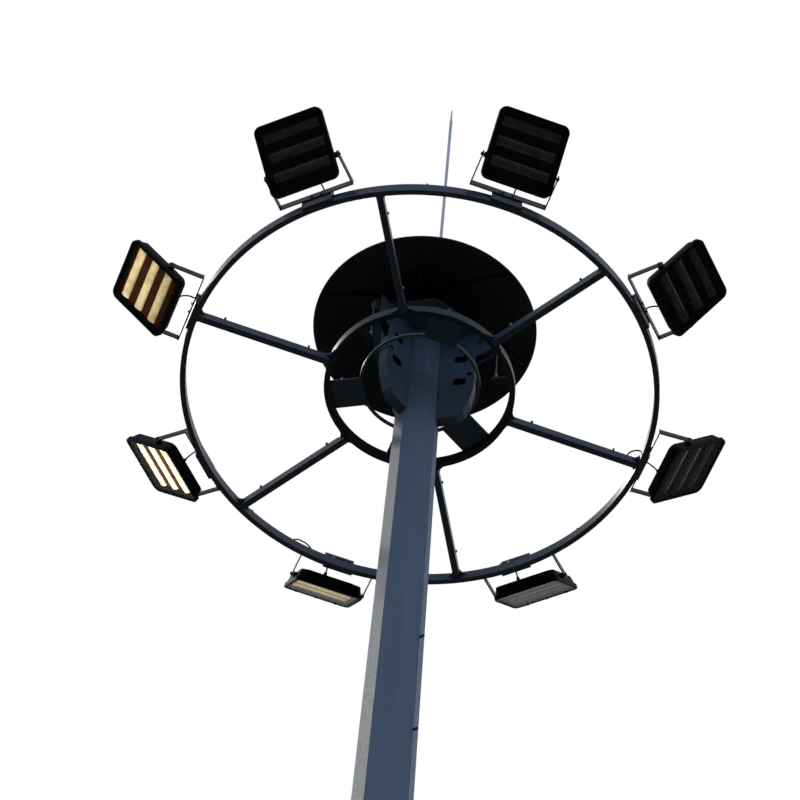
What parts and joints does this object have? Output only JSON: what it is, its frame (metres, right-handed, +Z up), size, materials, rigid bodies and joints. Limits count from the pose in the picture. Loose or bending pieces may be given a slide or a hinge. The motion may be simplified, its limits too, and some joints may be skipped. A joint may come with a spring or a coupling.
{
  "type": "high mast floodlight tower",
  "caption": "Tapered octagonal steel mast with a hooded head and a winch-lowered spoked lamp ring that carries tilting rectangular LED floodlights.",
  "frame": {"origin": "centre of the base flange's underside", "axes": "+Z up the mast, -Y the front with the access door, +X to the right seen from the front"},
  "size_m": [3.1926, 3.1926, 22.124],
  "materials": {
    "mast_paint": "satin blue-grey paint",
    "head_paint": "satin blue-grey paint",
    "hood_paint": "matt near-black paint",
    "sheave_iron": "dark cast iron",
    "rod_steel": "dull galvanized",
    "rope_steel": "greased wire rope",
    "carriage_paint": "semi-gloss dark navy paint",
    "stirrup_paint": "semi-gloss dark paint",
    "housing_alloy": "black powder-coated casting",
    "lamp_glass": "clear toughened glass"
  },
  "bodies": {
    "mast": {"base_flange": "mast_paint", "base_gussets": "mast_paint", "mast_lower": "mast_paint", "mast_middle": "mast_paint", "mast_upper": "mast_paint", "door_frame": "mast_paint", "access_door": "mast_paint", "head_cheeks": "head_paint", "sheaves": "sheave_iron", "head_plate": "head_paint", "hood_post": "head_paint", "hood_arms": "hood_paint", "hood": "hood_paint", "finial_cap": "head_paint", "lightning_rod": "rod_steel", "hoist_ropes": "rope_steel"},
    "carriage": {"lamp_ring": "carriage_paint", "spokes": "carriage_paint", "inner_ring": "carriage_paint", "bridge_plates": "carriage_paint", "guide_ring": "carriage_paint", "docking_posts": "carriage_paint", "rope_lugs": "carriage_paint", "lamp_pads": "carriage_paint", "stirrups": "stirrup_paint"},
    "floodlight_1": {"housing_1": "housing_alloy", "glass_1": "lamp_glass"},
    "floodlight_2": {"housing_2": "housing_alloy", "glass_2": "lamp_glass"},
    "floodlight_3": {"housing_3": "housing_alloy", "glass_3": "lamp_glass"},
    "floodlight_4": {"housing_4": "housing_alloy", "glass_4": "lamp_glass"},
    "floodlight_5": {"housing_5": "housing_alloy", "glass_5": "lamp_glass"},
    "floodlight_6": {"housing_6": "housing_alloy", "glass_6": "lamp_glass"},
    "floodlight_7": {"housing_7": "housing_alloy", "glass_7": "lamp_glass"},
    "floodlight_8": {"housing_8": "housing_alloy", "glass_8": "lamp_glass"}
  },
  "joints": [
    {"name": "carriage_lowering", "type": "slide", "parent": "mast", "child": "carriage", "axis": [0, 0, -1], "range_m": [0, 18], "deforming": ["hoist_ropes"]},
    {"name": "floodlight_1_tilt", "type": "hinge", "parent": "carriage", "child": "floodlight_1", "pos_m": [1.20897, 0.698, 19.465], "axis": [-0.5, 0.866, 0], "range_deg": [-40, 40]},
    {"name": "floodlight_2_tilt", "type": "hinge", "parent": "carriage", "child": "floodlight_2", "pos_m": [0.36131, 1.34843, 19.465], "axis": [-0.9659, 0.2588, 0], "range_deg": [-40, 40]},
    {"name": "floodlight_3_tilt", "type": "hinge", "parent": "carriage", "child": "floodlight_3", "pos_m": [-0.698, 1.20897, 19.465], "axis": [-0.866, -0.5, 0], "range_deg": [-40, 40]},
    {"name": "floodlight_4_tilt", "type": "hinge", "parent": "carriage", "child": "floodlight_4", "pos_m": [-1.34843, 0.36131, 19.465], "axis": [-0.2588, -0.9659, 0], "range_deg": [-40, 40]},
    {"name": "floodlight_5_tilt", "type": "hinge", "parent": "carriage", "child": "floodlight_5", "pos_m": [-1.20897, -0.698, 19.465], "axis": [0.5, -0.866, 0], "range_deg": [-40, 40]},
    {"name": "floodlight_6_tilt", "type": "hinge", "parent": "carriage", "child": "floodlight_6", "pos_m": [-0.36131, -1.34843, 19.465], "axis": [0.9659, -0.2588, 0], "range_deg": [-40, 40]},
    {"name": "floodlight_7_tilt", "type": "hinge", "parent": "carriage", "child": "floodlight_7", "pos_m": [0.698, -1.20897, 19.465], "axis": [0.866, 0.5, 0], "range_deg": [-40, 40]},
    {"name": "floodlight_8_tilt", "type": "hinge", "parent": "carriage", "child": "floodlight_8", "pos_m": [1.34843, -0.36131, 19.465], "axis": [0.2588, 0.9659, 0], "range_deg": [-40, 40]}
  ]
}
